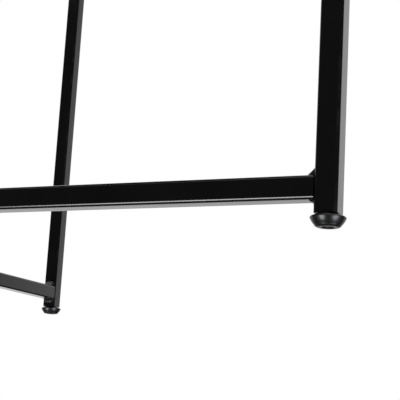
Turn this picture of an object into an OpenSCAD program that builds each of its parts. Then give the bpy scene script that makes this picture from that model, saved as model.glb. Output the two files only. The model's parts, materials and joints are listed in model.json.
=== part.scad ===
// Folding side table: a full main frame, two wings hinged at its middle, and a lift-off tray.
// The floor is at z = 0 and the tray's sides lie along X and Y.

/* [Tube] */
// Outer width of the square tube
tube_w = 10; // [8.5:0.1:12]
// Wall thickness of the tube
tube_wall = 1; // [0.8:0.1:1.5]
// Outer corner radius of the tube
tube_corner = 1.5; // [1.1:0.1:2]

/* [Frame] */
// Distance from the table's centre to the middle of each leg
leg_reach = 330; // [250:5:335]
// Length of each leg tube
leg_length = 450; // [300:5:650]
// Leg left showing beyond each bar
leg_end = 5.5; // [4.5:0.5:20]
// Side of the fillet weld inside the frame
weld_size = 3.7; // [1.5:0.1:4.4]
// Width along the bar of the fillet weld towards the leg's end
weld_end_out = 2.2; // [1:0.1:3]
// Height along the leg of the fillet weld towards the leg's end
weld_end_up = 2.6; // [1:0.1:4]
// Length of each fillet weld across the tube
weld_length = 6.8; // [4:0.2:8.2]

/* [Hinge] */
// Gap between a folded wing and the main frame
fold_gap = 2; // [1:0.1:6]
// Diameter of the hinge pins
pin_d = 5; // [4:0.5:6]
// Thickness of the hinge plates
plate_t = 2; // [1.5:0.5:3]
// Outer diameter of the hinge eye
eye_d = 10.4; // [8.6:0.1:12.6]
// Thickness of the hinge washers
washer_t = 0.6; // [0.4:0.1:1]

/* [Feet and caps] */
// Height of a foot below the leg
foot_h = 5.4; // [4.4:0.2:12]
// Largest diameter of a foot
foot_d = 15; // [12.4:0.2:16]
// Diameter of a foot where it meets the floor
foot_base_d = 9; // [6:0.2:10]
// Length of the foot's and the cap's plug inside the tube
plug_length = 14; // [10:1:25]
// Thickness of a cap's head
cap_t = 1.5; // [1:0.5:4]
// Gap between the caps' heads and the tray
pad_t = 2.5; // [2:0.5:6]

/* [Tray] */
// Side of the square tray
tray_side = 500; // [490:2:700]
// Outer corner radius of the tray
tray_corner = 20; // [10:1:34]
// Thickness of the tray's sheet
tray_sheet = 1.2; // [0.8:0.1:2]
// Height of the tray's rim
rim_h = 18; // [12:1:40]
// Thickness of the folded hem along the rim
hem_t = 3; // [2.4:0.2:4]
// Height of the folded hem
hem_h = 4; // [3:0.5:8]

/* [Hidden] */

$fn = 64;
corner_steps = 6;                    // flats round each corner of the tube
tray_corner_steps = 16;              // flats round each corner of the tray
plug_gap = 0.05;                     // between a plug and the tube's bore, all round
run_gap = 0.05;                      // between faces that turn on each other, and round a pin
seat_gap = 0.1;                      // between the eye's heel and the main bar that stops it
rest_gap = 0.05;                     // between the tray's underside parts and what carries them
eye_clear = 1.3;                     // between the eye and the end of its bar
plug_taper = 1.1;                    // how far a plug's core stands inside its ribs
rib_t = 1;                           // thickness of a plug's ribs
rib_count = 3;

bore_w = tube_w - 2*tube_wall;
plug_w = bore_w - 2*plug_gap;
bore_corner = max(tube_corner - tube_wall, 0.15);
hinge_offset = tube_w + fold_gap;                   // main frame's middle plane to each hinge pin
leg_bottom = foot_h;
leg_top = leg_bottom + leg_length;
bottom_bar_z = leg_bottom + leg_end;                // underside of the bottom bars
top_bar_z = leg_top - leg_end - tube_w;             // underside of the top bars
bar_levels = [bottom_bar_z, top_bar_z];
pin_r = pin_d/2;
pin_head_r = pin_r + 1.5;
pin_head_h = 1.6;
eye_h = tube_w - 2*(washer_t + 2*run_gap);
eye_heel = hinge_offset - tube_w/2 - seat_gap;
wing_reach = leg_reach - hinge_offset;              // hinge pin to the middle of the wing's leg
wing_bar_start = eye_d/2 + eye_clear;
tray_z = leg_top + cap_t + pad_t;                   // underside of the tray
foot_lip = 1.4;                                     // how far the foot's widest edge is below the leg
locating_pin_r = 2.5;
socket_bore_r = locating_pin_r + 0.3;
socket_r = 7;
locating_pin_h = pad_t - 0.2;
pad_r = tube_w/2 - 0.5;

steel_black = [0.045, 0.045, 0.05];
plastic_black = [0.08, 0.08, 0.09];
zinc = [0.55, 0.55, 0.58];
nylon = [0.85, 0.85, 0.82];

// Corner points of a rectangle a by b with rounded corners.
function rounded(a, b, r, steps) = [
    for (corner = [0:3])
        let (cx = (corner == 0 || corner == 3 ? 1 : -1)*(a/2 - r), cy = (corner < 2 ? 1 : -1)*(b/2 - r))
            for (i = [0:steps]) let (t = 90*corner + 90*i/steps) [cx + r*cos(t), cy + r*sin(t)]
];

// Hollow square tube along Z, from z = 0.
module tube(length) {
    difference() {
        linear_extrude(length)
            polygon(rounded(tube_w, tube_w, tube_corner, corner_steps));
        translate([0, 0, -1])
            linear_extrude(length + 2)
                polygon(rounded(bore_w, bore_w, bore_corner, 2));
    }
}

// Hollow square tube along X between x0 and x1, with its underside at z.
module bar(x0, x1, z) {
    translate([x0, 0, z + tube_w/2]) rotate([0, 90, 0]) tube(x1 - x0);
}

// Fillet weld in the corner at the origin: up along +Z and out along -X.
module fillet(out, up) {
    translate([0, weld_length/2, 0]) rotate([90, 0, 0])
        linear_extrude(weld_length)
            polygon([[0, 0], [0, up], [-out, 0]]);
}

// The fillets over and under each bar where it meets a leg whose inner face is at x.
module joint_fillets(x) {
    for (level = [0, 1])
        translate([x, 0, bar_levels[level] + tube_w/2]) mirror([0, 0, level]) {
            translate([0, 0, tube_w/2]) fillet(weld_size, weld_size);
            translate([0, 0, -tube_w/2]) mirror([0, 0, 1]) fillet(weld_end_out, weld_end_up);
        }
}

// Slab that fills the tube's bore, from z = 0.
module plug_slab(h) {
    linear_extrude(h)
        polygon(rounded(plug_w, plug_w, bore_corner, 2));
}

// Ribbed plug that goes up the tube from z = 0.
module plug() {
    core_w = plug_w - 2*plug_taper;
    translate([-core_w/2, -core_w/2, 0]) cube([core_w, core_w, plug_length]);
    for (i = [1:rib_count])
        translate([0, 0, i*plug_length/rib_count - rib_t - 0.5]) plug_slab(rib_t);
}

// Round glide foot under a leg, wide at its lip and narrow at the floor.
module foot() {
    color(plastic_black) union() {
        rotate_extrude()
            polygon([
                [0, 0.6], [foot_base_d*0.28, 0.6], [foot_base_d*0.32, 0], [foot_base_d/2, 0],
                [foot_base_d/2 + 0.8, 0.4], [foot_base_d/2 + 1.2, 1.2],
                [foot_d/2 - 0.25, foot_h - foot_lip - 0.4], [foot_d/2, foot_h - foot_lip],
                [foot_d/2 - 0.3, foot_h - foot_lip + 0.3], [foot_d/2 - 2.1, foot_h], [0, foot_h]
            ]);
        translate([0, 0, leg_bottom]) plug();
    }
}

// Cap on top of a leg.
module cap() {
    color(plastic_black) union() {
        translate([0, 0, leg_top])
            linear_extrude(cap_t)
                polygon(rounded(tube_w, tube_w, tube_corner, corner_steps));
        translate([0, 0, leg_top]) mirror([0, 0, 1]) plug();
    }
}

// Cap with the pin that locates the tray.
module locating_cap() {
    color(plastic_black) union() {
        cap();
        translate([0, 0, leg_top + cap_t]) cylinder(r = locating_pin_r, h = locating_pin_h);
    }
}

module main_leg() {
    color(steel_black) translate([leg_reach, 0, leg_bottom]) tube(leg_length);
}

module main_foot() {
    translate([leg_reach, 0, 0]) foot();
}

module main_cap() {
    translate([leg_reach, 0, 0]) locating_cap();
}

module main_bar(z) {
    color(steel_black) bar(-leg_reach + tube_w/2, leg_reach - tube_w/2, z);
}

module main_frame_welds() {
    color(steel_black) for (turn = [0, 180])
        rotate([0, 0, turn]) joint_fillets(leg_reach - tube_w/2);
}

// Flat link across the main bar with a hole for each wing's pin.
module hinge_plate(z) {
    color(steel_black) translate([0, 0, z]) difference() {
        union() {
            translate([-eye_d/2, -hinge_offset, 0]) cube([eye_d, 2*hinge_offset, plate_t]);
            for (side = [-1, 1])
                translate([0, side*hinge_offset, 0]) cylinder(d = eye_d, h = plate_t);
        }
        for (side = [-1, 1])
            translate([0, side*hinge_offset, -1]) cylinder(r = pin_r + run_gap, h = plate_t + 2);
    }
}

// Riveted pin through both plates of one hinge; side is -1 for the left wing and 1 for the right.
module hinge_pin(side, bar_z) {
    grip = tube_w + 2*plate_t;
    color(zinc) translate([0, side*hinge_offset, bar_z - plate_t]) union() {
        cylinder(r = pin_r, h = grip);
        for (end = [0, 1])
            translate([0, 0, end*grip]) mirror([0, 0, 1 - end])
                cylinder(r1 = pin_head_r, r2 = pin_head_r - 1.2, h = pin_head_h);
    }
}

module hinge_washers() {
    color(nylon) for (side = [-1, 1], z = bar_levels, over = [0, 1])
        translate([0, side*hinge_offset, z + (over == 0 ? run_gap : tube_w - run_gap - washer_t)])
            difference() {
                cylinder(d = eye_d - 0.8, h = washer_t);
                translate([0, 0, -1]) cylinder(r = pin_r + 2*run_gap, h = washer_t + 2);
            }
}

// A wing runs along +X from its hinge pin at the origin.
module wing_leg() {
    color(steel_black) translate([wing_reach, 0, leg_bottom]) tube(leg_length);
}

module wing_bar(z) {
    color(steel_black) bar(wing_bar_start, wing_reach - tube_w/2, z);
}

module wing_welds() {
    color(steel_black) joint_fillets(wing_reach - tube_w/2);
}

// Hinge eye: plugs into the end of a wing's bar, and its square heel stops the wing when open.
module wing_eye(bar_z) {
    neck_w = tube_w - 1;
    middle = bar_z + tube_w/2;
    color(plastic_black) difference() {
        union() {
            translate([0, 0, middle - eye_h/2]) {
                cylinder(d = eye_d, h = eye_h);
                translate([0, -neck_w/2, 0]) cube([wing_bar_start, neck_w, eye_h]);
                translate([-eye_heel, -eye_heel, 0]) cube([eye_heel, eye_heel, eye_h]);
            }
            translate([0, 0, middle]) rotate([0, 90, 0]) plug_slab(wing_bar_start + plug_length);
        }
        translate([0, 0, bar_z]) cylinder(r = pin_r + run_gap, h = tube_w);
    }
}

module wing_foot() {
    translate([wing_reach, 0, 0]) foot();
}

module wing_cap() {
    translate([wing_reach, 0, 0]) cap();
}

module wing_pad() {
    color(plastic_black) translate([wing_reach, 0, leg_top + cap_t])
        cylinder(r = pad_r, h = pad_t - rest_gap);
}

// Straight-sided block with the tray's outline, drawn in by the given wall, from z up.
module tray_block(wall, z, h) {
    side = tray_side - 2*wall;
    translate([0, 0, z])
        linear_extrude(h)
            polygon(rounded(side, side, tray_corner - wall, tray_corner_steps));
}

module tray_pan() {
    color(steel_black) translate([0, 0, tray_z]) difference() {
        tray_block(0, 0, rim_h);
        tray_block(tray_sheet, tray_sheet, rim_h - tray_sheet - hem_h);
        tray_block(hem_t, tray_sheet, rim_h);
    }
}

// Cups under the tray that drop over the main caps' pins.
module tray_sockets() {
    color(plastic_black) for (end = [-1, 1])
        translate([end*leg_reach, 0, leg_top + cap_t + rest_gap]) difference() {
            cylinder(r = socket_r, h = pad_t - rest_gap);
            translate([0, 0, -1]) cylinder(r = socket_bore_r, h = pad_t + 2);
        }
}

// The main frame runs from the front right corner to the rear left one.
module on_diagonal() {
    rotate([0, 0, -45]) children();
}

module at_rear() {
    rotate([0, 0, 180]) children();
}

module left_wing() {
    on_diagonal() translate([0, -hinge_offset, 0]) rotate([0, 0, -90]) children();
}

module right_wing() {
    on_diagonal() translate([0, hinge_offset, 0]) rotate([0, 0, 90]) children();
}

on_diagonal() main_leg();  // main_leg_front
on_diagonal() at_rear() main_leg();  // main_leg_rear
on_diagonal() main_bar(bottom_bar_z);  // main_bottom_bar
on_diagonal() main_bar(top_bar_z);  // main_top_bar
on_diagonal() main_frame_welds();
on_diagonal() hinge_plate(bottom_bar_z - plate_t);  // hinge_plate_bottom_under
on_diagonal() hinge_plate(bottom_bar_z + tube_w);  // hinge_plate_bottom_over
on_diagonal() hinge_plate(top_bar_z - plate_t);  // hinge_plate_top_under
on_diagonal() hinge_plate(top_bar_z + tube_w);  // hinge_plate_top_over
on_diagonal() hinge_pin(-1, bottom_bar_z);  // hinge_pin_left_lower
on_diagonal() hinge_pin(-1, top_bar_z);  // hinge_pin_left_upper
on_diagonal() hinge_pin(1, bottom_bar_z);  // hinge_pin_right_lower
on_diagonal() hinge_pin(1, top_bar_z);  // hinge_pin_right_upper
on_diagonal() hinge_washers();
on_diagonal() main_foot();  // main_foot_front
on_diagonal() at_rear() main_foot();  // main_foot_rear
on_diagonal() main_cap();  // main_cap_front
on_diagonal() at_rear() main_cap();  // main_cap_rear
left_wing() wing_leg();  // left_wing_leg
left_wing() wing_bar(bottom_bar_z);  // left_wing_bottom_bar
left_wing() wing_bar(top_bar_z);  // left_wing_top_bar
left_wing() wing_welds();  // left_wing_welds
left_wing() wing_eye(bottom_bar_z);  // left_wing_lower_eye
left_wing() wing_eye(top_bar_z);  // left_wing_upper_eye
left_wing() wing_foot();  // left_wing_foot
left_wing() wing_cap();  // left_wing_cap
left_wing() wing_pad();  // left_wing_pad
right_wing() wing_leg();  // right_wing_leg
right_wing() wing_bar(bottom_bar_z);  // right_wing_bottom_bar
right_wing() wing_bar(top_bar_z);  // right_wing_top_bar
right_wing() wing_welds();  // right_wing_welds
right_wing() wing_eye(bottom_bar_z);  // right_wing_lower_eye
right_wing() wing_eye(top_bar_z);  // right_wing_upper_eye
right_wing() wing_foot();  // right_wing_foot
right_wing() wing_cap();  // right_wing_cap
right_wing() wing_pad();  // right_wing_pad
tray_pan();
on_diagonal() tray_sockets();
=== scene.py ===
import json
import math

import bmesh
import bpy
from mathutils import Matrix, Vector


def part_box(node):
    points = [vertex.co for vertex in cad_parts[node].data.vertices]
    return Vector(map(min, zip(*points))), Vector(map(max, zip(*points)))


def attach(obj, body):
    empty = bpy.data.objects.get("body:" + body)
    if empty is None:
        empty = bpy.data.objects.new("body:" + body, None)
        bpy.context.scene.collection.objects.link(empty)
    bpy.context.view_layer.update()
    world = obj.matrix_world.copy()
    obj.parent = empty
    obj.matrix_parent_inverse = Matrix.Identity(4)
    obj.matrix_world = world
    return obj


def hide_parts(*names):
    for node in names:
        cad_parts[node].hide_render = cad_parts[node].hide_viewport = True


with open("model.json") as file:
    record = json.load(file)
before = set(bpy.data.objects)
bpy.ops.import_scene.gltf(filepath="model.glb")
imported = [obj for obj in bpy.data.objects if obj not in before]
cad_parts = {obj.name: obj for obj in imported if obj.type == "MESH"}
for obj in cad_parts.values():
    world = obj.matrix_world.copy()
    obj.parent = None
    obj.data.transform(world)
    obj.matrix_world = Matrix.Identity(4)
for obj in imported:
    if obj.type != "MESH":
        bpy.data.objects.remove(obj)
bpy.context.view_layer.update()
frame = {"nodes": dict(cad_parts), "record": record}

mm = 0.001
bodies = frame["record"]["behaviour"]["bodies"]
bodyOf = {node: body for body, nodes in bodies.items() for node in nodes}


# small helpers for node trees and meshes

def add(tree, kind, inputs=None, **settings):
    node = tree.nodes.new(kind)
    for name, value in settings.items():
        setattr(node, name, value)
    for key, value in (inputs or {}).items():
        if isinstance(value, bpy.types.NodeSocket):
            tree.links.new(value, node.inputs[key])
        else:
            node.inputs[key].default_value = value
    return node


def calc(tree, operation, *values):
    node = add(tree, "ShaderNodeMath", dict(enumerate(values)), operation=operation)
    return node.outputs[0]


def smoothNormals(piece, angle=35):
    piece.data.shade_smooth()
    piece.data.set_sharp_from_angle(angle=math.radians(angle))
    weighted = piece.modifiers.new("keepFlatsFlat", "WEIGHTED_NORMAL")
    weighted.keep_sharp = True


def newPiece(name, mesh, material, nodes, angle=35):
    piece = bpy.data.objects.new(name, mesh)
    bpy.context.scene.collection.objects.link(piece)
    mesh.materials.clear()
    mesh.materials.append(material)
    smoothNormals(piece, angle)
    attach(piece, bodyOf[nodes[0]])
    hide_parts(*nodes)
    return piece


def meshFrom(build):
    work = bmesh.new()
    build(work)
    bmesh.ops.remove_doubles(work, verts=work.verts, dist=0.0002 * mm)
    bmesh.ops.recalc_face_normals(work, faces=work.faces)
    mesh = bpy.data.meshes.new("work")
    work.to_mesh(mesh)
    work.free()
    return mesh


def lathe(work, profile, centre, steps=72):
    # profile: (radius, height) pairs from the bottom of the axis round to the top
    rings = []
    for radius, height in profile:
        z = centre.z + height
        if radius < 1e-7:
            rings.append([work.verts.new((centre.x, centre.y, z))])
        else:
            rings.append([
                work.verts.new((
                    centre.x + radius * math.cos(2 * math.pi * i / steps),
                    centre.y + radius * math.sin(2 * math.pi * i / steps), z))
                for i in range(steps)
            ])
    for low, high in zip(rings, rings[1:]):
        for i in range(steps):
            j = (i + 1) % steps
            corners = [low[i % len(low)], low[j % len(low)], high[j % len(high)], high[i % len(high)]]
            corners = list(dict.fromkeys(corners))
            if len(corners) > 2:
                work.faces.new(corners)


def softened(points, radius=0.3 * mm, steps=4):
    # rounds every corner of an open outline a little
    out = [Vector(points[0])]
    for before, here, after in zip(points, points[1:], points[2:]):
        before, here, after = Vector(before), Vector(here), Vector(after)
        reach = min(radius, (before - here).length * 0.45, (after - here).length * 0.45)
        a = here + (before - here).normalized() * reach
        b = here + (after - here).normalized() * reach
        for i in range(steps + 1):
            t = i / steps
            out.append(a * (1 - t) ** 2 + here * 2 * t * (1 - t) + b * t * t)
    out.append(Vector(points[-1]))
    return [tuple(p) for p in out]


# finishes

def makeFinish(name, look):
    material = bpy.data.materials.new(name)
    material.use_nodes = True
    tree = material.node_tree
    shader = tree.nodes["Principled BSDF"]
    place = add(tree, "ShaderNodeTexCoord").outputs["Object"]

    # slow drift of tone and gloss over the piece
    drift = add(tree, "ShaderNodeTexNoise", {
        "Vector": place, "Scale": look["driftScale"], "Detail": 4.0, "Roughness": 0.6})
    ramp = add(tree, "ShaderNodeValToRGB", {"Fac": drift.outputs["Fac"]})
    ramp.color_ramp.elements[0].position, ramp.color_ramp.elements[1].position = 0.35, 0.65
    ramp.color_ramp.elements[0].color = (*look["dark"], 1)
    ramp.color_ramp.elements[1].color = (*look["light"], 1)
    colour = ramp.outputs["Color"]
    gloss = add(tree, "ShaderNodeMapRange", {
        "Value": drift.outputs["Fac"], "From Min": 0.3, "From Max": 0.7,
        "To Min": look["roughness"][0], "To Max": look["roughness"][1]}).outputs["Result"]

    # dust nibs under the coat: one cell in a few holds a pale raised dot. Finishes with a negative nib
    # height get sunk pits instead, and on the weld coat the pits are coloured darker than the coat, which
    # is painted shade in the pits
    cells = add(tree, "ShaderNodeTexVoronoi", {"Vector": place, "Scale": look["nibScale"]})
    near = add(tree, "ShaderNodeMapRange", {
        "Value": cells.outputs["Distance"], "From Min": look["nibSize"], "From Max": look["nibSize"] * 0.3})
    pick = add(tree, "ShaderNodeSeparateColor", {"Color": cells.outputs["Color"]})
    chosen = calc(tree, "GREATER_THAN", pick.outputs["Red"], 1 - look["nibShare"])
    nibAndPitShadeMask = calc(tree, "MULTIPLY", near.outputs["Result"], chosen)
    nibAndPitShadeMix = add(tree, "ShaderNodeMix", {0: nibAndPitShadeMask, 6: colour, 7: (*look["nibAndPitShadeColour"], 1)}, data_type="RGBA")
    colour = nibAndPitShadeMix.outputs[2]

    # rubbed edges, where the piece carries the attribute
    edge = add(tree, "ShaderNodeAttribute", attribute_name="edgeRub")
    patches = add(tree, "ShaderNodeTexNoise", {"Vector": place, "Scale": 140.0, "Detail": 5.0})
    rubMask = add(tree, "ShaderNodeMapRange", {
        "Value": patches.outputs["Fac"], "From Min": 0.48, "From Max": 0.72})
    rub = calc(tree, "MULTIPLY", edge.outputs["Fac"], rubMask.outputs["Result"])
    rubTone = add(tree, "ShaderNodeMix", {0: rub, 6: colour, 7: (*look["rubbed"], 1)}, data_type="RGBA")
    colour = rubTone.outputs[2]
    tree.links.new(colour, shader.inputs["Base Color"])
    tree.links.new(gloss, shader.inputs["Roughness"])

    # surface relief, coarse to fine, with the nibs on top
    normal = None
    for scale, depth, strength in look["relief"]:
        grain = add(tree, "ShaderNodeTexNoise", {"Vector": place, "Scale": scale, "Detail": 2.0})
        bump = add(tree, "ShaderNodeBump", {
            "Height": grain.outputs["Fac"], "Distance": depth, "Strength": strength})
        if normal:
            tree.links.new(normal, bump.inputs["Normal"])
        normal = bump.outputs["Normal"]
    dots = add(tree, "ShaderNodeBump", {
        "Height": nibAndPitShadeMask, "Distance": look["nibHeight"], "Strength": 0.6, "Normal": normal})
    tree.links.new(dots.outputs["Normal"], shader.inputs["Normal"])
    for socket, value in look.get("sockets", {}).items():
        shader.inputs[socket].default_value = value
    return material


powderCoat = makeFinish("powderCoatSatinBlack", {
    "dark": (0.0030, 0.0030, 0.0033), "light": (0.0052, 0.0050, 0.0052), "driftScale": 26.0,
    "roughness": (0.17, 0.25),
    "nibAndPitShadeColour": (0.030, 0.028, 0.028), "nibScale": 420.0, "nibSize": 0.11,
    "nibShare": 0.10, "nibHeight": 0.03 * mm,
    "rubbed": (0.020, 0.020, 0.021),
    "relief": [(120.0, 0.05 * mm, 0.30), (900.0, 0.02 * mm, 0.35)],
    "sockets": {"IOR": 1.5, "Coat Weight": 0.85, "Coat Roughness": 0.09, "Coat IOR": 1.5},
})
trayCoat = makeFinish("trayCoatFineTexture", {
    "dark": (0.0050, 0.0050, 0.0054), "light": (0.0085, 0.0083, 0.0085), "driftScale": 9.0,
    "roughness": (0.36, 0.46),
    "nibAndPitShadeColour": (0.030, 0.030, 0.030), "nibScale": 260.0, "nibSize": 0.12,
    "nibShare": 0.06, "nibHeight": 0.03 * mm,
    "rubbed": (0.030, 0.030, 0.031),
    "relief": [(60.0, 0.10 * mm, 0.15), (620.0, 0.06 * mm, 0.45), (1900.0, 0.03 * mm, 0.40)],
    "sockets": {"IOR": 1.5, "Coat Weight": 0.15, "Coat Roughness": 0.3},
})
weldCoat = makeFinish("coatedWeld", {
    "dark": (0.0030, 0.0030, 0.0033), "light": (0.0070, 0.0068, 0.0068), "driftScale": 300.0,
    "roughness": (0.42, 0.56),
    # this near-black colour darkens the weld's sunk pits: painted shade
    "nibAndPitShadeColour": (0.0008, 0.0008, 0.0008), "nibScale": 700.0, "nibSize": 0.30,
    "nibShare": 0.22, "nibHeight": -0.25 * mm,
    "rubbed": (0.02, 0.02, 0.02),
    "relief": [(420.0, 0.10 * mm, 0.35), (1300.0, 0.03 * mm, 0.35)],
    "sockets": {"IOR": 1.45, "Coat Weight": 0.1, "Coat Roughness": 0.3},
})
glidePlastic = makeFinish("glidePlasticBlack", {
    "dark": (0.0090, 0.0088, 0.0095), "light": (0.0150, 0.0146, 0.0160), "driftScale": 120.0,
    "roughness": (0.28, 0.42),
    "nibAndPitShadeColour": (0.05, 0.05, 0.055), "nibScale": 600.0, "nibSize": 0.14,
    "nibShare": 0.08, "nibHeight": -0.02 * mm,
    "rubbed": (0.045, 0.045, 0.048),
    "relief": [(260.0, 0.05 * mm, 0.30), (1500.0, 0.02 * mm, 0.35)],
    "sockets": {"IOR": 1.52, "Coat Weight": 0.3, "Coat Roughness": 0.18},
})
mouldedNylon = makeFinish("mouldedNylonBlack", {
    "dark": (0.0080, 0.0080, 0.0085), "light": (0.0130, 0.0130, 0.0135), "driftScale": 90.0,
    "roughness": (0.38, 0.50),
    "nibAndPitShadeColour": (0.03, 0.03, 0.03), "nibScale": 500.0, "nibSize": 0.12,
    "nibShare": 0.05, "nibHeight": -0.02 * mm,
    "rubbed": (0.04, 0.04, 0.04),
    "relief": [(300.0, 0.04 * mm, 0.3), (1700.0, 0.03 * mm, 0.45)],
    "sockets": {"IOR": 1.5},
})
padRubber = makeFinish("padRubberBlack", {
    "dark": (0.012, 0.012, 0.012), "light": (0.020, 0.019, 0.019), "driftScale": 160.0,
    "roughness": (0.62, 0.78),
    "nibAndPitShadeColour": (0.045, 0.043, 0.04), "nibScale": 800.0, "nibSize": 0.16,
    "nibShare": 0.15, "nibHeight": 0.02 * mm,
    "rubbed": (0.05, 0.05, 0.05),
    "relief": [(500.0, 0.05 * mm, 0.4), (2000.0, 0.03 * mm, 0.5)],
    "sockets": {"IOR": 1.45},
})
rivetZinc = makeFinish("rivetZincPlate", {
    "dark": (0.34, 0.34, 0.35), "light": (0.46, 0.46, 0.47), "driftScale": 240.0,
    "roughness": (0.28, 0.42),
    "nibAndPitShadeColour": (0.20, 0.19, 0.17), "nibScale": 900.0, "nibSize": 0.2,
    "nibShare": 0.12, "nibHeight": -0.02 * mm,
    "rubbed": (0.6, 0.6, 0.6),
    "relief": [(700.0, 0.03 * mm, 0.4), (2400.0, 0.01 * mm, 0.4)],
    "sockets": {"Metallic": 1.0},
})
washerNylon = makeFinish("washerNylonWhite", {
    "dark": (0.62, 0.61, 0.57), "light": (0.72, 0.71, 0.67), "driftScale": 200.0,
    "roughness": (0.35, 0.48),
    "nibAndPitShadeColour": (0.5, 0.48, 0.42), "nibScale": 900.0, "nibSize": 0.15,
    "nibShare": 0.05, "nibHeight": 0.01 * mm,
    "rubbed": (0.6, 0.58, 0.52),
    "relief": [(800.0, 0.02 * mm, 0.3), (2600.0, 0.01 * mm, 0.3)],
    "sockets": {"IOR": 1.53},
})
print("finishes made")


# tubes: a rounded square outline drawn along a straight line by Geometry Nodes

tube = {
    "corner": 1.5 * mm,      # outside corner radius
    "cornerSteps": 8,
    "ringEvery": 12 * mm,    # spacing of the rings along the tube
    "rubStart": 0.612,       # distance from the axis, in tube widths, where edge wear begins
    "rubFull": 0.645,
}
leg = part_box("main_leg_front")
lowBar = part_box("main_bottom_bar")
tube["width"] = lowBar[1].z - lowBar[0].z


def treeWith(name, sockets):
    tree = bpy.data.node_groups.new(name, "GeometryNodeTree")
    tree.interface.new_socket("Geometry", in_out="OUTPUT", socket_type="NodeSocketGeometry")
    for label, kind in sockets:
        tree.interface.new_socket(label, in_out="INPUT", socket_type=kind)
    return tree, add(tree, "NodeGroupInput").outputs


def closeTree(tree, geometry, material):
    whole = add(tree, "GeometryNodeRealizeInstances", {0: geometry})
    dressed = add(tree, "GeometryNodeSetMaterial", {"Geometry": whole.outputs[0], "Material": material})
    add(tree, "NodeGroupOutput", {0: dressed.outputs[0]})


def runTree(tree, values):
    holder = bpy.data.objects.new("holder", bpy.data.meshes.new("holder"))
    bpy.context.scene.collection.objects.link(holder)
    modifier = holder.modifiers.new("build", "NODES")
    modifier.node_group = tree
    for item in tree.interface.items_tree:
        if item.in_out == "INPUT" and item.name in values:
            modifier[item.identifier] = values[item.name]
    holder.update_tag()
    evaluated = holder.evaluated_get(bpy.context.evaluated_depsgraph_get())
    mesh = bpy.data.meshes.new_from_object(evaluated)
    holder.modifiers.remove(modifier)
    bpy.data.objects.remove(holder)
    return mesh


def makeTubeTree():
    tree, given = treeWith("squareTube", [
        ("Length", "NodeSocketFloat"), ("Width", "NodeSocketFloat"), ("Corner", "NodeSocketFloat"),
        ("Corner steps", "NodeSocketInt"), ("Rings", "NodeSocketInt"), ("Finish", "NodeSocketMaterial")])
    end = add(tree, "ShaderNodeCombineXYZ", {"Z": given["Length"]})
    line = add(tree, "GeometryNodeCurvePrimitiveLine", {"End": end.outputs[0]})
    line = add(tree, "GeometryNodeResampleCurve", {"Curve": line.outputs[0], "Count": given["Rings"]})
    outline = add(tree, "GeometryNodeCurvePrimitiveQuadrilateral", {
        "Width": given["Width"], "Height": given["Width"]})
    outline = add(tree, "GeometryNodeFilletCurve", {
        "Curve": outline.outputs[0], "Radius": given["Corner"], "Count": given["Corner steps"]},
        mode="POLY")
    skin = add(tree, "GeometryNodeCurveToMesh", {
        "Curve": line.outputs[0], "Profile Curve": outline.outputs[0], "Fill Caps": True})
    # how far round a corner each point lies: 0 on the flats, 1 at the corner's middle
    place = add(tree, "GeometryNodeInputPosition").outputs[0]
    flat = add(tree, "ShaderNodeVectorMath", {0: place, 1: (1, 1, 0)}, operation="MULTIPLY")
    away = add(tree, "ShaderNodeVectorMath", {0: flat.outputs[0]}, operation="LENGTH")
    start = calc(tree, "MULTIPLY", given["Width"], tube["rubStart"])
    full = calc(tree, "MULTIPLY", given["Width"], tube["rubFull"])
    share = add(tree, "ShaderNodeMapRange", {
        "Value": away.outputs["Value"], "From Min": start, "From Max": full})
    marked = add(tree, "GeometryNodeStoreNamedAttribute", {
        "Geometry": skin.outputs[0], "Name": "edgeRub", "Value": share.outputs[0]},
        data_type="FLOAT", domain="POINT")
    closeTree(tree, marked.outputs[0], given["Finish"])
    return tree


tubeTree = makeTubeTree()


def drawTube(name, node, start, end, material):
    along = end - start
    mesh = runTree(tubeTree, {
        "Length": along.length, "Width": tube["width"], "Corner": tube["corner"],
        "Corner steps": tube["cornerSteps"], "Rings": max(2, round(along.length / tube["ringEvery"])),
        "Finish": material})
    direction = along.normalized()
    if abs(direction.z) > 0.9:
        side = Vector((1, 1, 0)).normalized()  # legs stand with their faces across the diagonals
    else:
        side = Vector((0, 0, 1))
    other = direction.cross(side)
    turn = Matrix((side, other, direction)).transposed().to_4x4()
    mesh.transform(Matrix.Translation(start) @ turn)
    return newPiece(name, mesh, material, [node])


def middle(box):
    return (box[0] + box[1]) / 2


for node, name in {
        "main_leg_front": "mainLegFront", "main_leg_rear": "mainLegRear",
        "left_wing_leg": "leftWingLeg", "right_wing_leg": "rightWingLeg"}.items():
    low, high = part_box(node)
    centre = middle((low, high))
    end, head = Vector((centre.x, centre.y, low.z)), Vector((centre.x, centre.y, high.z))
    drawTube(name, node, end, head, powderCoat)

for node, name in {
        "main_bottom_bar": "mainBottomBar", "main_top_bar": "mainTopBar",
        "left_wing_bottom_bar": "leftWingBottomBar", "left_wing_top_bar": "leftWingTopBar",
        "right_wing_bottom_bar": "rightWingBottomBar", "right_wing_top_bar": "rightWingTopBar"}.items():
    low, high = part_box(node)
    centre = middle((low, high))
    reach = (high.x - low.x) / 2 * math.sqrt(2) - tube["width"] / 2
    along = Vector((1, -1, 0) if node.startswith("main") else (1, 1, 0)).normalized()
    drawTube(name, node, centre - along * reach, centre + along * reach, powderCoat)
print("tubes drawn")


# fillet welds: a rippled bead run across each corner by Geometry Nodes

weld = {
    "length": 7.8 * mm,
    "inside": (4.2 * mm, 4.2 * mm, 0.02),     # out along the bar, up along the leg, how hollow
    "outside": (3.4 * mm, 3.3 * mm, 0.40),    # the side towards the leg's end
    "ripples": 9,
    "rippleBase": 0.95,
    "rippleDepth": 0.07,
    "taper": 0.45,                            # how much smaller the bead gets at its two ends
    "taperPower": 6.0,
    "lump": 0.16 * mm,
    "sink": 0.25 * mm,                        # set into the corner
}


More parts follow.
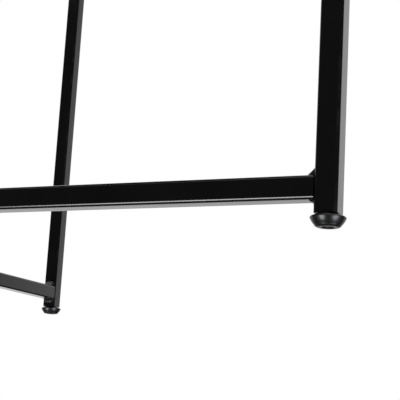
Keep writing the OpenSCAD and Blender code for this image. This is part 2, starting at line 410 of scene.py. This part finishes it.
def makeWeldTree():
    tree, given = treeWith("weldBead", [
        ("Length", "NodeSocketFloat"), ("Out", "NodeSocketFloat"), ("Up", "NodeSocketFloat"),
        ("Hollow", "NodeSocketFloat"), ("Ripples", "NodeSocketFloat"), ("Lump", "NodeSocketFloat"),
        ("Seed", "NodeSocketFloat"), ("Finish", "NodeSocketMaterial")])
    half = calc(tree, "MULTIPLY", given["Length"], 0.5)
    back = calc(tree, "MULTIPLY", given["Length"], -0.5)
    line = add(tree, "GeometryNodeCurvePrimitiveLine", {
        "Start": add(tree, "ShaderNodeCombineXYZ", {"Z": back}).outputs[0],
        "End": add(tree, "ShaderNodeCombineXYZ", {"Z": half}).outputs[0]})
    line = add(tree, "GeometryNodeResampleCurve", {"Curve": line.outputs[0], "Count": 57})
    # a square outline, later bent into the corner
    outline = add(tree, "GeometryNodeCurvePrimitiveQuadrilateral", {"Width": 1.0, "Height": 1.0})
    outline = add(tree, "GeometryNodeResampleCurve", {"Curve": outline.outputs[0], "Count": 64})
    skin = add(tree, "GeometryNodeCurveToMesh", {
        "Curve": line.outputs[0], "Profile Curve": outline.outputs[0], "Fill Caps": True})
    at = add(tree, "ShaderNodeSeparateXYZ", {0: add(tree, "GeometryNodeInputPosition").outputs[0]})
    # u and v go from 0 in the corner to 1 at the bead's toes
    u = calc(tree, "ADD", at.outputs["X"], 0.5)
    v = calc(tree, "ADD", at.outputs["Y"], 0.5)
    # the square's outer edges are drawn in to the straight line between the toes, then hollowed
    both = calc(tree, "MAXIMUM", calc(tree, "ADD", u, v), 0.0001)
    straight = calc(tree, "DIVIDE", calc(tree, "MAXIMUM", u, v), both)
    dent = calc(tree, "MULTIPLY", calc(tree, "MULTIPLY", u, v), given["Hollow"])
    pull = calc(tree, "MULTIPLY", straight, calc(tree, "SUBTRACT", 1.0, dent))
    # ripples along the bead, and a taper at its two ends
    run = calc(tree, "DIVIDE", at.outputs["Z"], given["Length"])
    wave = calc(tree, "PINGPONG", calc(tree, "MULTIPLY", run, given["Ripples"]), 1.0)
    ripple = calc(tree, "MULTIPLY_ADD", wave, weld["rippleDepth"], weld["rippleBase"])
    nearEnd = calc(tree, "POWER", calc(tree, "MULTIPLY", run, 2.0), weld["taperPower"])
    taper = calc(tree, "MULTIPLY_ADD", nearEnd, -weld["taper"], 1.0)
    size = calc(tree, "MULTIPLY", calc(tree, "MULTIPLY", ripple, taper), pull)
    x = calc(tree, "MULTIPLY", calc(tree, "MULTIPLY", u, given["Out"]), size)
    y = calc(tree, "MULTIPLY", calc(tree, "MULTIPLY", v, given["Up"]), size)
    bent = add(tree, "ShaderNodeCombineXYZ", {"X": x, "Y": y, "Z": at.outputs["Z"]})
    placed = add(tree, "GeometryNodeSetPosition", {
        "Geometry": skin.outputs[0], "Position": bent.outputs[0]})
    seed = add(tree, "ShaderNodeCombineXYZ", {"X": given["Seed"], "Y": given["Seed"]})
    where = add(tree, "ShaderNodeVectorMath", {
        0: add(tree, "GeometryNodeInputPosition").outputs[0], 1: seed.outputs[0]}, operation="ADD")
    grain = add(tree, "ShaderNodeTexNoise", {"Vector": where.outputs[0], "Scale": 620.0, "Detail": 2.0})
    centred = add(tree, "ShaderNodeVectorMath", {
        0: grain.outputs["Color"], 1: (0.5, 0.5, 0.5)}, operation="SUBTRACT")
    shift = add(tree, "ShaderNodeVectorMath", {
        0: centred.outputs[0], "Scale": given["Lump"]}, operation="SCALE")
    lumpy = add(tree, "GeometryNodeSetPosition", {
        "Geometry": placed.outputs[0], "Offset": shift.outputs[0]})
    closeTree(tree, lumpy.outputs[0], given["Finish"])
    return tree


weldTree = makeWeldTree()


def runWelds(name, node, legs):
    work = bmesh.new()
    seed = 3.0
    for legCentre, inward in legs:
        face = Vector((legCentre.x, legCentre.y, 0)) + inward * tube["width"] / 2
        for barNode in ("main_bottom_bar", "main_top_bar"):
            low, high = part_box(barNode)
            lowerBar = barNode == "main_bottom_bar"
            for over in (False, True):
                towardEnd = over != lowerBar
                out, up, hollow = weld["outside"] if towardEnd else weld["inside"]
                seed += 1.7
                mesh = runTree(weldTree, {
                    "Length": weld["length"], "Out": out, "Up": up, "Hollow": hollow,
                    "Ripples": float(weld["ripples"]), "Lump": weld["lump"], "Seed": seed,
                    "Finish": weldCoat})
                # the bead's own X runs out along the bar, its Y up or down the leg
                rise = Vector((0, 0, 1 if over else -1))
                turn = Matrix((inward, rise, inward.cross(rise))).transposed().to_4x4()
                corner = face + Vector((0, 0, high.z if over else low.z))
                corner -= inward * weld["sink"] + rise * weld["sink"]
                mesh.transform(Matrix.Translation(corner) @ turn)
                work.from_mesh(mesh)
                bpy.data.meshes.remove(mesh)
    bmesh.ops.remove_doubles(work, verts=work.verts, dist=0.001 * mm)
    bmesh.ops.recalc_face_normals(work, faces=work.faces)
    joined = bpy.data.meshes.new(name)
    work.to_mesh(joined)
    work.free()
    return newPiece(name, joined, weldCoat, [node], 70)


def towardMiddle(centre):
    return Vector((-centre.x, -centre.y, 0)).normalized()


for name, node, legNodes in (
        ("mainFrameWelds", "main_frame_welds", ["main_leg_front", "main_leg_rear"]),
        ("leftWingWelds", "left_wing_welds", ["left_wing_leg"]),
        ("rightWingWelds", "right_wing_welds", ["right_wing_leg"])):
    centres = [middle(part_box(n)) for n in legNodes]
    runWelds(name, node, [(c, towardMiddle(c)) for c in centres])
print("welds run")


# glide feet

foot = {
    "lip": 1.4 * mm,          # widest edge, below the leg
    "bow": 0.15 * mm,         # how far the side bulges
    "gap": 0.3 * mm,          # shadow line under the leg
    "recess": 0.6 * mm,
    "plug": 14 * mm,
}


def makeFoot(name, node):
    low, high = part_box(node)
    centre = Vector((middle((low, high)).x, middle((low, high)).y, low.z))
    wide = (high.x - low.x) / 2
    top = leg[0].z - low.z
    base = wide * 0.6
    # the side bows out a little between the base and the lip
    start = Vector((base + 1.15 * mm, 1.0 * mm))
    end = Vector((wide - 0.06 * mm, top - foot["lip"] - 0.15 * mm))
    out = Vector((end.y - start.y, start.x - end.x)).normalized()
    bowl = [tuple(start.lerp(end, t) + out * foot["bow"] * 4 * t * (1 - t))
            for t in (i / 10 for i in range(11))]
    profile = softened([
        (0, foot["recess"]), (base * 0.50, foot["recess"]), (base * 0.62, 0.05 * mm), (base * 0.68, 0),
        (base * 0.95, 0), (base + 0.70 * mm, 0.35 * mm)] + bowl + [
        (wide - 0.35 * mm, top - foot["lip"] + 0.3 * mm), (wide - 2.1 * mm, top - foot["gap"]),
        (4.6 * mm, top - foot["gap"]), (4.6 * mm, top), (3.0 * mm, top), (3.0 * mm, top + foot["plug"]),
        (0, top + foot["plug"])], 0.2 * mm)

    def build(work):
        lathe(work, profile, centre, 96)
        # gate mark left by the mould in the middle of the recess
        mark, root = foot["recess"] - 0.22 * mm, foot["recess"] + 0.1 * mm
        gate = softened([(0, mark), (0.8 * mm, mark), (1.0 * mm, root), (0, root)], 0.08 * mm)
        lathe(work, gate, centre, 40)

    return newPiece(name, meshFrom(build), glidePlastic, [node])


for name, node in (("mainFootFront", "main_foot_front"), ("mainFootRear", "main_foot_rear"),
                   ("leftWingFoot", "left_wing_foot"), ("rightWingFoot", "right_wing_foot")):
    makeFoot(name, node)
print("feet turned")


# hinge parts and caps: the made shapes with their edges broken

eased = {"plate": 0.3 * mm, "eye": 0.25 * mm, "cap": 0.3 * mm}


def easeEdges(name, node, width, material, segments=3):
    def build(work):
        work.from_mesh(frame["nodes"][node].data)
        bmesh.ops.remove_doubles(work, verts=work.verts, dist=0.002 * mm)
        bmesh.ops.dissolve_limit(work, angle_limit=math.radians(1.5), verts=work.verts, edges=work.edges)
        sharp = [e for e in work.edges
                 if len(e.link_faces) == 2 and e.calc_face_angle(0) > math.radians(40)]
        bmesh.ops.bevel(work, geom=sharp, offset=width, segments=segments, profile=0.5,
                        affect="EDGES", clamp_overlap=True)

    return newPiece(name, meshFrom(build), material, [node], 30)


for level, title in (("bottom", "Bottom"), ("top", "Top")):
    for side, word in (("under", "Under"), ("over", "Over")):
        easeEdges("hingePlate" + title + word, "hinge_plate_" + level + "_" + side,
                  eased["plate"], powderCoat)
for wing in ("left", "right"):
    for level, title in (("lower", "Lower"), ("upper", "Upper")):
        easeEdges(wing + "Wing" + title + "Eye", wing + "_wing_" + level + "_eye",
                  eased["eye"], mouldedNylon)
    easeEdges(wing + "WingCap", wing + "_wing_cap", eased["cap"], mouldedNylon)
for end, title in (("front", "Front"), ("rear", "Rear")):
    easeEdges("mainCap" + title, "main_cap_" + end, eased["cap"], mouldedNylon)

rivet = {
    "head": 1.6 * mm,
    "shaft": 2.5 * mm,
    "dent": 0.06 * mm,        # left by the setting tool in the middle of each head
}
for wing in ("left", "right"):
    for level, title in (("lower", "Lower"), ("upper", "Upper")):
        node = "hinge_pin_" + wing + "_" + level
        low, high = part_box(node)
        centre = Vector((middle((low, high)).x, middle((low, high)).y, low.z))
        headRadius, shaft, tall = (high.x - low.x) / 2, rivet["shaft"], high.z - low.z
        # a half dome at each end, flattened where the setting tool struck
        dome = [(headRadius * math.cos(a), rivet["head"] * (1 - math.sin(a)))
                for a in (math.radians(d) for d in (72, 60, 45, 30, 15, 0))]
        outline = ([(0, rivet["dent"])] + dome + [(shaft, rivet["head"]), (shaft, tall - rivet["head"])]
                   + [(r, tall - h) for r, h in reversed(dome)] + [(0, tall - rivet["dent"])])
        newPiece("hingePin" + wing.capitalize() + title,
                 meshFrom(lambda work: lathe(work, outline, centre, 56)), rivetZinc, [node])


washer = {
    "outer": 4.8 * mm,
    "inner": 2.6 * mm,
    "thick": 0.6 * mm,
    "gap": 0.05 * mm,         # between the washer and the plate
}


def makeWashers(work):
    inner, outer, thick = washer["inner"], washer["outer"], washer["thick"]
    section = softened([(inner, 0), (outer, 0), (outer, thick), (inner, thick), (inner, 0)], 0.12 * mm, 3)
    for pin in ("left", "right"):
        low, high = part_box("hinge_pin_" + pin + "_lower")
        centre = middle((low, high))
        for barNode in ("main_bottom_bar", "main_top_bar"):
            barLow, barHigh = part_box(barNode)
            for z in (barLow.z + washer["gap"], barHigh.z - washer["gap"] - thick):
                lathe(work, section, Vector((centre.x, centre.y, z)), 48)


newPiece("hingeWashers", meshFrom(makeWashers), washerNylon, ["hinge_washers"])
print("hinges riveted")


# pads and sockets under the tray

pad = {"grooves": (0.45, 0.72), "groove": 0.35 * mm}
for wing in ("left", "right"):
    node = wing + "_wing_pad"
    low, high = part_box(node)
    centre = Vector((middle((low, high)).x, middle((low, high)).y, low.z))
    radius, tall = (high.x - low.x) / 2, high.z - low.z
    outline = [(0, 0), (radius * 0.94, 0), (radius, 0.3 * mm), (radius, tall - 0.4 * mm),
               (radius * 0.9, tall)]
    for share in reversed(pad["grooves"]):
        outline += [(radius * (share + 0.06), tall), (radius * (share + 0.03), tall - pad["groove"]),
                    (radius * (share - 0.03), tall - pad["groove"]), (radius * (share - 0.06), tall)]
    outline.append((0, tall))
    outline = softened(outline, 0.1 * mm, 3)
    newPiece(wing + "WingPad", meshFrom(lambda work: lathe(work, outline, centre, 64)),
             padRubber, [node])


socket = {"outer": 7.0 * mm, "bore": 2.8 * mm}


def makeSockets(work):
    low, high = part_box("tray_sockets")
    outer, bore, tall = socket["outer"], socket["bore"], high.z - low.z
    for legNode in ("main_leg_front", "main_leg_rear"):
        spot = middle(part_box(legNode))
        section = softened([
            (bore + 0.5 * mm, 0), (outer - 1.2 * mm, 0), (outer - 0.3 * mm, 0.9 * mm),
            (outer, tall - 0.5 * mm), (outer, tall), (bore, tall), (bore, 0.5 * mm),
            (bore + 0.5 * mm, 0)], 0.2 * mm, 3)
        lathe(work, section, Vector((spot.x, spot.y, low.z)), 72)


newPiece("traySockets", meshFrom(makeSockets), padRubber, ["tray_sockets"])


# pressed tray

tray = {
    "corner": 20 * mm,
    "cornerSteps": 20,
    "sheet": 1.2 * mm,
    "bend": 2.4 * mm,         # outside radius between floor and rim
    "hem": (3.0 * mm, 4.0 * mm),
    "swageInset": 42 * mm,    # pressed step that stiffens the floor
    "swageCorner": 30 * mm,
    "swageWidth": 5 * mm,
    "swageDepth": 0.8 * mm,
}


def trayRing(work, inset, z, half):
    if inset < tray["swageInset"]:
        radius = max(tray["corner"] - inset, 2.5 * mm)
    else:
        radius = tray["swageCorner"] + tray["swageInset"] - inset
    reach = half - inset - radius
    points = []
    for corner, (sx, sy) in enumerate(((1, 1), (-1, 1), (-1, -1), (1, -1))):
        for i in range(tray["cornerSteps"] + 1):
            a = math.radians(90 * corner + 90 * i / tray["cornerSteps"])
            x, y = sx * reach + radius * math.cos(a), sy * reach + radius * math.sin(a)
            points.append(work.verts.new((x, y, z)))
    return points


def makeTray(work):
    low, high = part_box("tray_pan")
    half, floor, rim = (high.x - low.x) / 2, low.z, high.z
    sheet, bend = tray["sheet"], tray["bend"]
    hemWide, hemTall = tray["hem"]
    swage = [(tray["swageInset"] + tray["swageWidth"] * t,
              tray["swageDepth"] * (0.5 - 0.5 * math.cos(math.pi * t))) for t in (0, 0.2, 0.4, 0.6, 0.8, 1)]
    quarter = [math.radians(d) for d in range(0, 91, 15)]
    halfTurn = [math.radians(d) for d in range(0, 181, 15)]
    # one line across the rim, from the underside out, up, over the hem and back in along the top
    section = [(inset, floor + rise) for inset, rise in reversed(swage)]
    section += [(bend * (1 - math.sin(a)), floor + bend * (1 - math.cos(a))) for a in quarter]
    lip = hemWide / 2
    section += [(lip * (1 - math.cos(a)), rim - lip + lip * math.sin(a)) for a in halfTurn]
    section += [(hemWide, rim - hemTall + 0.4 * mm), (hemWide - 0.4 * mm, rim - hemTall),
                (sheet + 0.02 * mm, rim - hemTall + 0.1 * mm)]
    inner = bend - sheet
    section += [(sheet + inner * (1 - math.cos(a)), floor + sheet + inner * (1 - math.sin(a)))
                for a in quarter]
    section += [(inset, floor + sheet + rise) for inset, rise in swage]
    rings = [trayRing(work, inset, z, half) for inset, z in section]
    count = len(rings[0])
    for a, b in zip(rings, rings[1:]):
        for i in range(count):
            j = (i + 1) % count
            work.faces.new((a[i], a[j], b[j], b[i]))
    work.faces.new(rings[0])
    work.faces.new(rings[-1])


newPiece("trayPan", meshFrom(makeTray), trayCoat, ["tray_pan"], 50)
print("tray pressed")


# camera

view = {
    "lens": 101.9,
    "place": (0.03155, -0.63068, -0.08130),
    "heading": -20.3112,
    "pitch": 11.4299,
    "roll": -3.2589,
}
cameraData = bpy.data.cameras.new("camera")
cameraData.lens = view["lens"]
cameraData.sensor_width = 36.0
cameraData.clip_start = 0.01
camera = bpy.data.objects.new("camera", cameraData)
bpy.context.scene.collection.objects.link(camera)
camera.matrix_world = (
    Matrix.Translation(view["place"])
    @ Matrix.Rotation(math.radians(view["heading"]), 4, "Z")
    @ Matrix.Rotation(math.radians(view["pitch"]), 4, "X")
    @ Matrix.Rotation(math.radians(view["roll"]), 4, "Y")
    @ Matrix.Rotation(math.radians(90), 4, "X"))
bpy.context.scene.camera = camera


# floor: pale from above, clear from below

floorMesh = bpy.data.meshes.new("floor")
floorMesh.from_pydata([(-40, -40, 0), (40, -40, 0), (40, 40, 0), (-40, 40, 0)], [], [(0, 1, 2, 3)])
floor = bpy.data.objects.new("floor", floorMesh)
bpy.context.scene.collection.objects.link(floor)
paleFloor = bpy.data.materials.new("paleFloor")
paleFloor.use_nodes = True
floorTree = paleFloor.node_tree
floorShader = floorTree.nodes["Principled BSDF"]
floorShader.inputs["Base Color"].default_value = (0.86, 0.86, 0.86, 1)
floorShader.inputs["Roughness"].default_value = 0.6
clear = add(floorTree, "ShaderNodeBsdfTransparent")
sides = add(floorTree, "ShaderNodeNewGeometry")
either = add(floorTree, "ShaderNodeMixShader", {
    0: sides.outputs["Backfacing"], 1: floorShader.outputs[0], 2: clear.outputs[0]})
floorTree.links.new(either.outputs[0], floorTree.nodes["Material Output"].inputs["Surface"])
floorMesh.materials.append(paleFloor)
floor.visible_glossy = False
floor.visible_diffuse = False
floor.visible_shadow = False


# studio light: a white surround behind the table, dark in front, a soft light low down on each side

heading = math.radians(view["heading"])
forward = Vector((-math.sin(heading), math.cos(heading), 0))
rightward = Vector((math.cos(heading), math.sin(heading), 0))
upward = Vector((0, 0, 1))
surround = {
    "dim": 0.035,
    "behind": {"from": 0.30, "to": 0.74, "strength": 0.72},
    "under": {"from": 0.45, "to": 0.12},
    "above": {"from": 0.45, "to": 0.90, "strength": 0.8},
    # direction (right, forward, up), half width from full to nothing as cosines, colour, strength
    "lights": [
        ((0.61, -0.55, -0.57), 0.94, 0.985, (0.90, 0.93, 1.0), 6.5),
        ((-0.63, -0.47, -0.62), 0.955, 0.985, (0.98, 1.0, 0.98), 6.5),
    ],
}
world = bpy.data.worlds.new("studio")
bpy.context.scene.world = world
world.use_nodes = True
sky = world.node_tree
sky.nodes.clear()
direction = add(sky, "ShaderNodeTexCoord").outputs["Generated"]


def glow(towards, start, full):
    facing = add(sky, "ShaderNodeVectorMath", {0: direction, 1: towards}, operation="DOT_PRODUCT")
    ramp = add(sky, "ShaderNodeMapRange", {
        "Value": facing.outputs["Value"], "From Min": start, "From Max": full},
        interpolation_type="SMOOTHSTEP")
    return ramp.outputs["Result"]


# the white behind stops short of straight down, so the tubes' lower corners stay dark
notUnder = glow(-upward, surround["under"]["from"], surround["under"]["to"])
behind, above = surround["behind"], surround["above"]
whiteBehind = calc(sky, "MULTIPLY", glow(forward, behind["from"], behind["to"]), notUnder)
layers = [
    ((1, 1, 1), surround["dim"], None),
    ((1, 1, 1), behind["strength"], whiteBehind),
    ((1, 1, 1), above["strength"], glow(upward, above["from"], above["to"])),
]
for (r, f, u), start, full, tint, strength in surround["lights"]:
    towards = (rightward * r + forward * f + upward * u).normalized()
    layers.append((tint, strength, glow(towards, start, full)))
total = None
for tint, strength, mask in layers:
    layer = add(sky, "ShaderNodeBackground", {"Color": (*tint, 1), "Strength": strength})
    if mask:
        sky.links.new(calc(sky, "MULTIPLY", mask, strength), layer.inputs["Strength"])
    if total:
        total = add(sky, "ShaderNodeAddShader", {0: total, 1: layer.outputs[0]}).outputs[0]
    else:
        total = layer.outputs[0]
backdrop = add(sky, "ShaderNodeBackground", {"Color": (1, 1, 1, 1), "Strength": 1.0})
path = add(sky, "ShaderNodeLightPath")
seen = add(sky, "ShaderNodeMixShader", {0: path.outputs["Is Camera Ray"], 1: total, 2: backdrop.outputs[0]})
add(sky, "ShaderNodeOutputWorld", {"Surface": seen.outputs[0]})

overhead = bpy.data.lights.new("overhead", "AREA")
overhead.size = 1.6
overhead.energy = 28
overheadLamp = bpy.data.objects.new("overhead", overhead)
overheadLamp.location = (-0.3, 0.5, 2.2)
overheadLamp.rotation_euler = Vector((0.3, -0.5, 2.2)).to_track_quat("Z", "Y").to_euler()
bpy.context.scene.collection.objects.link(overheadLamp)
bpy.context.scene.view_settings.view_transform = "Standard"
print("camera, floor and light set")
